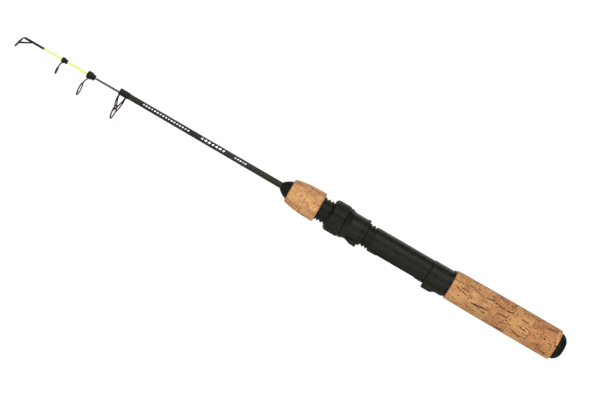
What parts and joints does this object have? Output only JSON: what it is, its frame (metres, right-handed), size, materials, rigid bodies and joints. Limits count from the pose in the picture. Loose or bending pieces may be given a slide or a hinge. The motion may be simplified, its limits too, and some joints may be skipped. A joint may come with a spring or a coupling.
{
  "type": "ice fishing rod",
  "caption": "Short telescopic ice fishing rod with a neon whip, floating line guides, a screw-locking reel seat and a two-part cork grip.",
  "frame": {"origin": "middle of the flat bed on the reel seat's barrel that the reel's foot rests on", "axes": "+X along the rod towards the butt (the tip is at -X), +Z away from the reel and the line guides, +Y across"},
  "size_m": [0.4784, 0.0256, 0.0348],
  "materials": {
    "cork": "matte",
    "seat_nylon": "satin",
    "trim_ring": "satin",
    "blank_graphite": "satin",
    "whip_glass_fibre": "gloss",
    "guide_plastic": "gloss",
    "guide_wire": "gloss",
    "guide_insert": "gloss",
    "butt_rubber": "matte",
    "arbor_foam": "matte"
  },
  "bodies": {
    "handle": {"butt_blank": "blank_graphite", "mouth_collar": "guide_plastic", "mouth_guide_frame": "guide_wire", "mouth_guide_ring": "guide_insert", "winding_check": "butt_rubber", "front_cork_1": "cork", "front_cork_2": "cork", "front_ring": "trim_ring", "reel_seat": "seat_nylon", "seat_arbor_front": "arbor_foam", "seat_arbor_rear": "arbor_foam", "fixed_hood": "seat_nylon", "rear_ring": "trim_ring", "rear_cork_1": "cork", "rear_cork_2": "cork", "rear_cork_3": "cork", "rear_cork_4": "cork", "rear_cork_5": "cork", "rear_cork_6": "cork", "butt_cap": "butt_rubber"},
    "whip": {"whip": "whip_glass_fibre", "tip_top_tube": "guide_wire", "tip_top_frame": "guide_wire", "tip_top_ring": "guide_insert"},
    "guide_1": {"guide_1_collar": "guide_plastic", "guide_1_frame": "guide_wire", "guide_1_ring": "guide_insert"},
    "guide_2": {"guide_2_collar": "guide_plastic", "guide_2_frame": "guide_wire", "guide_2_ring": "guide_insert"},
    "hood": {"moving_hood": "seat_nylon"},
    "nut": {"locking_nut": "seat_nylon"}
  },
  "joints": [
    {"name": "whip_slide", "type": "slide", "parent": "handle", "child": "whip", "axis": [-1, 0, 0], "range_m": [-0.049, 0.115]},
    {"name": "guide_1_slide", "type": "slide", "parent": "handle", "child": "guide_1", "axis": [-1, 0, 0], "range_m": [-0.03366, 0.07901]},
    {"name": "guide_2_slide", "type": "slide", "parent": "handle", "child": "guide_2", "axis": [-1, 0, 0], "range_m": [-0.01823, 0.04278]},
    {"name": "hood_slide", "type": "slide", "parent": "handle", "child": "hood", "axis": [1, 0, 0], "range_m": [-0.007, 0.007]},
    {"name": "nut_spin", "type": "hinge", "parent": "hood", "child": "nut", "pos_m": [-0.0565, 0, 0.0096], "axis": [1, 0, 0], "range_deg": [-826.28, 826.28]}
  ],
  "couplings": [
    {"joint": "guide_1_slide", "follows": "whip_slide", "ratio": 0.687},
    {"joint": "guide_2_slide", "follows": "whip_slide", "ratio": 0.372},
    {"joint": "nut_spin", "follows": "hood_slide", "rad_per_m": 2060.1}
  ]
}
